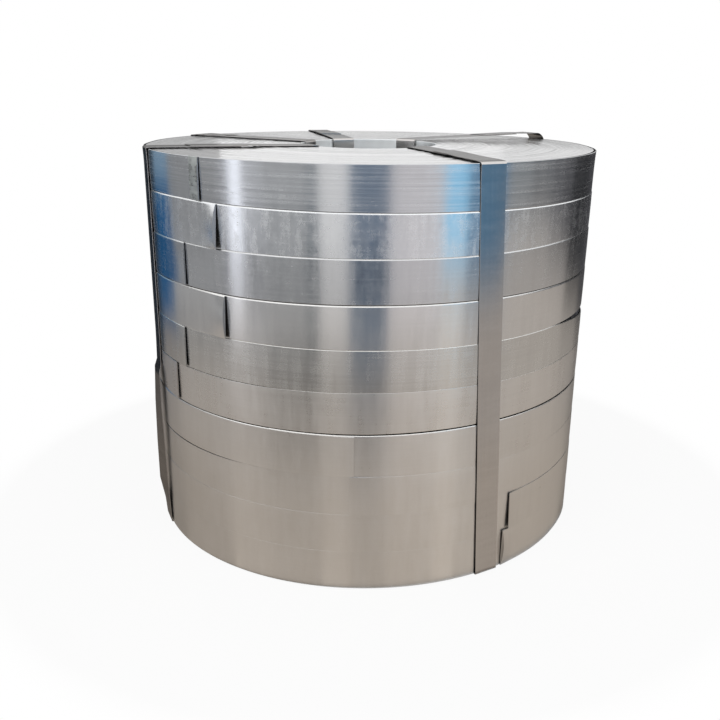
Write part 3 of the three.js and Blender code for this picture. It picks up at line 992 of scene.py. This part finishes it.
camera_data = bpy.data.cameras.new("camera")
camera_data.sensor_width = SENSOR
camera_data.lens = SENSOR * FOCAL_SHARE
camera = in_scene("camera", camera_data)
tilt = Matrix.Rotation(math.pi / 2 - CAMERA_PITCH, 4, "X") @ Matrix.Rotation(CAMERA_ROLL, 4, "Z")
camera.matrix_world = Matrix.Translation(CAMERA_PLACE) @ tilt
bpy.context.scene.camera = camera


# ---------------------------------------------------------------- studio
def reflected(azimuth, reach):
    """Where the camera's level view of the wall at an azimuth goes, reach metres past the wall."""
    normal = outward(azimuth)
    spot = normal * FRAME_RADIUS
    ray = spot - np.array([CAMERA_PLACE[0], CAMERA_PLACE[1], 0.0])
    ray = ray / np.linalg.norm(ray)
    return spot + (ray - 2 * ray.dot(normal) * normal) * reach


def add_stage(name, points, faces, material):
    """A piece of the studio."""
    mesh = bpy.data.meshes.new(name)
    mesh.from_pydata([tuple(point) for point in points], [], faces)
    mesh.materials.append(material)
    piece = in_scene(name, mesh)
    return piece


def add_card(*piece):
    """A card that only the metal's gloss shows."""
    card = add_stage(*piece)
    for kind in ("camera", "diffuse", "shadow", "transmission", "volume_scatter"):
        setattr(card, f"visible_{kind}", False)
    return card


def glow(nodes, colour):
    """The material of a card that shines evenly."""
    return nodes.output(nodes.out("Emission", {"Color": colour, "Strength": 1.0}))


CARD_REACH = 1.25  # from the wall
CARD_STEP = 1.5  # degrees of the wall to a facet of a card
FRONT_TOP, SIDE_TOP = 1.1, 0.97  # of the cards in front and at the sides
FRONT_FROM, FRONT_TO = -124.0, -60.3  # azimuths between which the cards are the front ones
LIMB_TOP = 0.90  # of the cards at both ends, over which the coils' upper ends mirror the back
FAR_FLOOR, NEAR_FLOOR = (1.0, 0.92, 0.85), (1.0, 0.89, 0.78)
# The upright cards that the wall mirrors, by azimuth: colour, the heights over which it fades down
# into the floor's tone, how bright the floor is in front of it near the coil and far off, and how
# much brighter it is in the belt that the third coil mirrors.
CARDS = [
    ("far_left", -165.5, -162.0, (0.70, 0.71, 0.74), (-0.2, 0.0), (0.60, 0.58), 1.0),
    ("dark_left", -162.0, -151.4, (0.032, 0.050, 0.070), (-0.2, 0.0), (0.47, 0.38), 1.0),
    ("blue_left", -151.4, -142.6, (0.014, 0.13, 0.33), (0.12, 0.24), (0.42, 0.43), 1.0),
    ("grey_left", -142.6, -124.0, (0.365, 0.37, 0.38), (0.0, 0.2), (0.50, 0.57), 1.5),
    ("soft_left", -124.0, -121.7, (0.41, 0.415, 0.44), (0.0, 0.2), (0.66, 0.53), 0.74),
    ("white_left", -121.7, -118.3, (1.82, 1.86, 2.00), (0.05, 0.4), (0.60, 0.54), 0.74),
    ("pale_left", -118.3, -113.0, (0.59, 0.60, 0.63), (0.0, 0.2), (0.60, 0.48), 0.55),
    ("grey_front", -113.0, -103.2, (0.47, 0.48, 0.495), (0.0, 0.2), (0.56, 0.27), 0.84),
    ("dip_front", -103.2, -100.8, (0.28, 0.31, 0.34), (0.05, 0.2), (0.55, 0.17), 0.55),
    ("white_front", -100.8, -94.3, (1.06, 1.05, 1.055), (0.0, 0.3), (0.67, 0.46), 0.80),
    ("dark_front", -94.3, -86.2, (0.21, 0.275, 0.375), (-0.1, 0.15), (0.58, 0.29), 0.40),
    ("pale_right", -86.2, -74.8, (0.84, 0.81, 0.835), (0.0, 0.3), (0.65, 0.64), 1.15),
    ("blue_right", -74.8, -69.5, (0.39, 0.88, 1.28), (0.28, 0.50), (0.76, 0.86), 1.25),
    ("dusk_right", -69.5, -60.3, (0.133, 0.297, 0.49), (0.15, 0.50), (0.64, 0.61), 0.92),
    ("grey_right", -60.3, -53.0, (0.29, 0.315, 0.335), (0.38, 0.64), (0.63, 0.64), 1.05),
    ("mid_right", -53.0, -46.0, (0.20, 0.21, 0.225), (0.35, 0.66), (0.61, 0.64), 1.0),
    ("dim_right", -46.0, -41.0, (0.155, 0.157, 0.17), (0.25, 0.6), (0.63, 0.64), 0.97),
    ("dusk_far", -41.0, -36.5, (0.115, 0.115, 0.125), (0.2, 0.55), (0.63, 0.63), 1.1),
    ("dark_right", -36.5, -27.0, (0.045, 0.046, 0.05), (0.05, 0.4), (0.62, 0.56), 1.3),
    ("far_right", -27.0, -14.6, (0.072, 0.072, 0.08), (0.0, 0.3), (0.33, 0.29), 1.2),
]
# What a card turns to higher up, and the heights over which it does.
CROWNS = {"blue_left": ((0.30, 0.47, 0.64), 0.62, 0.70)}
BELT = ((0.26, 0.30), (0.41, 0.45))  # heights over which the belt comes and goes


def drum_card(name, start, end, colour, fade, floor_levels, belt):
    """An upright card that the wall mirrors between two azimuths."""
    steps = max(2, round((end - start) / CARD_STEP))
    foot = [reflected(azimuth, CARD_REACH) for azimuth in np.linspace(start, end, steps + 1)]
    top = FRONT_TOP if start >= FRONT_FROM and end <= FRONT_TO else SIDE_TOP
    if name.startswith("far_"):
        top = LIMB_TOP
    points = [(place[0], place[1], z) for z in (0.0, top) for place in foot]
    faces = [(k, k + 1, k + steps + 2, k + steps + 1) for k in range(steps)]
    nodes = Nodes(name)
    height = nodes.split(nodes.place())[2]
    floor_tone = tuple(floor_levels[1] * part for part in FAR_FLOOR)
    shade = nodes.mixed(nodes.rise(height, *fade), (*floor_tone, 1.0), (*colour, 1.0))
    if name in CROWNS:
        crown, low, high = CROWNS[name]
        shade = nodes.mixed(nodes.rise(height, low, high), shade, (*crown, 1.0))
    coming, going = BELT
    falling = nodes.ranged(height, *going, 1.0, 0.0, smooth=True)
    within = nodes.product(nodes.rise(height, *coming), falling)
    tone = nodes.ranged(within, 0.0, 1.0, 1.0, belt)
    add_card(name, points, faces, glow(nodes, nodes.tinted(shade, tone)))


for card in CARDS:
    drum_card(*card)

# The floor in front as the wall mirrors it: rows by distance from the wall, with how far each has
# turned from its near tone to its far one, and how much light reaches it.
FLOOR_ROWS = [
    (0.001, 0.0, 0.50), (0.010, 0.0, 1.0), (0.45, 0.0, 1.0), (0.90, 1.0, 1.0), (CARD_REACH, 1.0, 1.0),
]
FLOOR_BLEND = 0.8  # degrees beside a card's edge over which the floor takes the next tone
FAN_STEP = 2.5  # degrees of the wall to a column of the floor


def floor_fan():
    """The floor in front, in columns that the wall mirrors below each card."""
    points, tones = [], []
    for _, start, end, _, _, (near, far), _ in CARDS:
        steps = max(1, round((end - start) / FAN_STEP))
        for azimuth in np.linspace(start + FLOOR_BLEND, end - FLOOR_BLEND, steps + 1):
            for reach, turned, lit in FLOOR_ROWS:
                place = reflected(azimuth, reach)
                points.append((place[0], place[1], 2 * FLOOR_CARD_HEIGHT))
                level = lit * (near * (1 - turned) + far * turned)
                tone = [n * (1 - turned) + f * turned for n, f in zip(NEAR_FLOOR, FAR_FLOOR)]
                tones.append([*(level * part for part in tone), 1.0])
    rows = len(FLOOR_ROWS)
    faces = [
        (first + r, first + rows + r, first + rows + r + 1, first + r + 1)
        for first in range(0, len(points) - rows, rows) for r in range(rows - 1)
    ]
    nodes = Nodes("floor_fan")
    tone = nodes.out("Attribute", attribute_name="tone")
    card = add_card("floor_fan", points, faces, glow(nodes, tone))
    layer = card.data.color_attributes.new("tone", "FLOAT_COLOR", "POINT")
    layer.data.foreach_set("color", np.array(tones, dtype=np.float32).ravel())


FLOOR_CARD_HEIGHT = 0.001
FLOOR_CARD_RINGS = (0.5045, 2.3)
FLOOR_CARD_SIDES = 96
# The floor as the lower coils mirror it, from behind on the left round by the front (0) to behind
# on the right: half-turns from the front, and brightness. The lower levels behind and at the sides
# are painted shade of the floor there.
FLOOR_GLOW = [
    (-1.0, 0.40), (-0.76, 0.30), (-0.63, 0.40), (-0.48, 0.50), (-0.30, 0.58),
    (0.0, 0.63), (0.48, 0.60), (0.63, 0.54), (0.76, 0.44), (1.0, 0.40),
]
# The radii between which this floor brightens away from the coil's foot, and its level there.
FOOT_SHADE = (0.5, 0.53, 0.40)
# Its tints on the left and in front, and the half-turns between which the one goes over.
LEFT_TINT, FRONT_TINT = (1.0, 0.97, 0.88, 1.0), (1.0, 0.90, 0.80, 1.0)
TINT_TURNS = (-0.7, -0.2)


def ring_band(azimuths, rings, closed):
    """The points and faces of a band between two (radius, height) rings."""
    points = [outward(azimuth) * radius + UP * height for radius, height in rings for azimuth in azimuths]
    count = len(azimuths)
    last = count if closed else count - 1
    faces = [(k, (k + 1) % count, (k + 1) % count + count, k + count) for k in range(last)]
    return points, faces


def floor_card():
    """The floor all round the coil, under the one in front."""
    angles = np.linspace(0, 360, FLOOR_CARD_SIDES, endpoint=False)
    rings = [(radius, FLOOR_CARD_HEIGHT) for radius in FLOOR_CARD_RINGS]
    nodes = Nodes("floor_card")
    place = nodes.place()
    x, y = nodes.split(place)[:2]
    turn = nodes.math("DIVIDE", nodes.math("ARCTAN2", x, nodes.math("MULTIPLY", y, -1.0)), math.pi)
    ramp = nodes.add("ValToRGB", {0: nodes.ranged(turn, -1.0, 1.0, 0.0, 1.0)})
    stops = ramp.color_ramp.elements
    while len(stops) < len(FLOOR_GLOW):
        stops.new(0.5)
    for stop, (half_turns, level) in zip(stops, FLOOR_GLOW):
        stop.position = (half_turns + 1) / 2
        stop.color = grey(level)
    inner, outer, shaded = FOOT_SHADE
    near = nodes.ranged(nodes.length(place), inner, outer, shaded, 1.0, smooth=True)
    hue = nodes.mixed(nodes.rise(turn, *TINT_TURNS), LEFT_TINT, FRONT_TINT)
    around = nodes.out("SeparateColor", {0: ramp.outputs[0]})
    lit = nodes.tinted(hue, nodes.math("MULTIPLY", around, near))
    add_card("floor_card", *ring_band(angles, rings, closed=True), glow(nodes, lit))


floor_card()
floor_fan()

# Flat cards behind, which the coils' upper ends and rolled rims mirror: left and right end, lower
# and upper edge, and brightness.
BACK_CARD_Y = 2.3
FLAT_CARDS = [
    ("back_low", (-3.5, 3.5), (0.0, 1.0), 0.42),
    ("back_middle", (-0.70, 0.70), (1.0, 3.2), 1.22),
    ("back_right", (0.70, 3.5), (1.0, 3.2), 1.05),
    ("back_left", (-3.5, -0.70), (1.0, 3.2), 0.62),
]
for name, sides, heights, level in FLAT_CARDS:
    corners = [(x, BACK_CARD_Y, z) for z in heights for x in sides]
    add_card(name, corners, [(0, 1, 3, 2)], glow(Nodes(name), grey(level)))

# The light tent over the front and the sides, which the coils' rolled rims mirror.
TENT_AZIMUTHS = (-225, 45)
TENT_RINGS = ((1.9, SIDE_TOP), (0.3, 2.9))  # radius and height
TENT_LEVEL = 1.55
TENT_SIDES = 54
tent_angles = np.linspace(*TENT_AZIMUTHS, TENT_SIDES + 1)
tent = ring_band(tent_angles, TENT_RINGS, closed=False)
add_card("tent", *tent, glow(Nodes("tent"), grey(TENT_LEVEL)))

# The soft lamps: place, the point that each faces, its side and its power.
SOFTBOXES = {
    "front_left": ((-2.3, -2.3, 2.3), (0, 0, 0.2), 2.2, 26),
    "front_right": ((2.3, -2.3, 2.3), (0, 0, 0.2), 2.2, 26),
    "overhead": ((0.0, 0.0, 3.6), (0, 0, 0), 3.0, 20),
}
for name, (place, target, side, power) in SOFTBOXES.items():
    data = bpy.data.lights.new(name, "AREA")
    data.shape = "RECTANGLE"
    data.size, data.size_y = side, side
    data.energy = power
    lamp = in_scene(name, data)
    lamp.location = place
    lamp.rotation_euler = (Vector(target) - Vector(place)).to_track_quat("-Z", "Y").to_euler()
    lamp.visible_camera = False

FLOOR_TONE = 0.93
WHITE_FROM = 0.5  # metres from the axis at which the floor begins to fade to white
WHITE_BY = 1.0
SHADOW_LEFT = 0.10  # share of the floor's shading that the camera sees near the object
FLOOR_REACH = 60.0


def seen_directly(nodes):
    """One for camera, glossy and transmission rays, and one for camera rays alone."""
    paths = nodes.add("LightPath").outputs
    seen = nodes.math("MAXIMUM", paths["Is Camera Ray"], paths["Is Glossy Ray"])
    return nodes.math("MAXIMUM", seen, paths["Is Transmission Ray"]), paths["Is Camera Ray"]


def make_floor():
    """The floor that the camera sees: shaded by the coil near it, and white further off."""
    nodes = Nodes("floor")
    place = nodes.place()
    grain = nodes.swing(nodes.noise(place, 3.0, 3.0), 0.005, 0.005)
    far = nodes.rise(nodes.length(place), WHITE_FROM, WHITE_BY)
    seen, by_camera = seen_directly(nodes)
    faded = nodes.math("MULTIPLY", far, seen)
    whiteness = nodes.math("MAXIMUM", faded, nodes.math("MULTIPLY", by_camera, 1 - SHADOW_LEFT))
    shaded = nodes.out("BsdfDiffuse", {"Color": nodes.tinted((FLOOR_TONE,) * 3, grain)})
    white = nodes.out("Emission", {"Color": grey(1.0), "Strength": 1.0})
    material = nodes.output(nodes.out("MixShader", {0: whiteness, 1: shaded, 2: white}))
    corners = [(x * FLOOR_REACH, y * FLOOR_REACH, 0) for x, y in ((-1, -1), (1, -1), (1, 1), (-1, 1))]
    add_stage("floor", corners, [(0, 1, 2, 3)], material)


make_floor()

WORLD_LIGHT = 0.45
world = bpy.data.worlds.new("world")
bpy.context.scene.world = world
sky = Nodes("world", world)
strength = sky.ranged(seen_directly(sky)[0], 0.0, 1.0, WORLD_LIGHT, 1.0)
sky.output(sky.out("Background", {"Color": grey(1.0), "Strength": strength}), "World")

bpy.context.scene.view_settings.view_transform = "Standard"
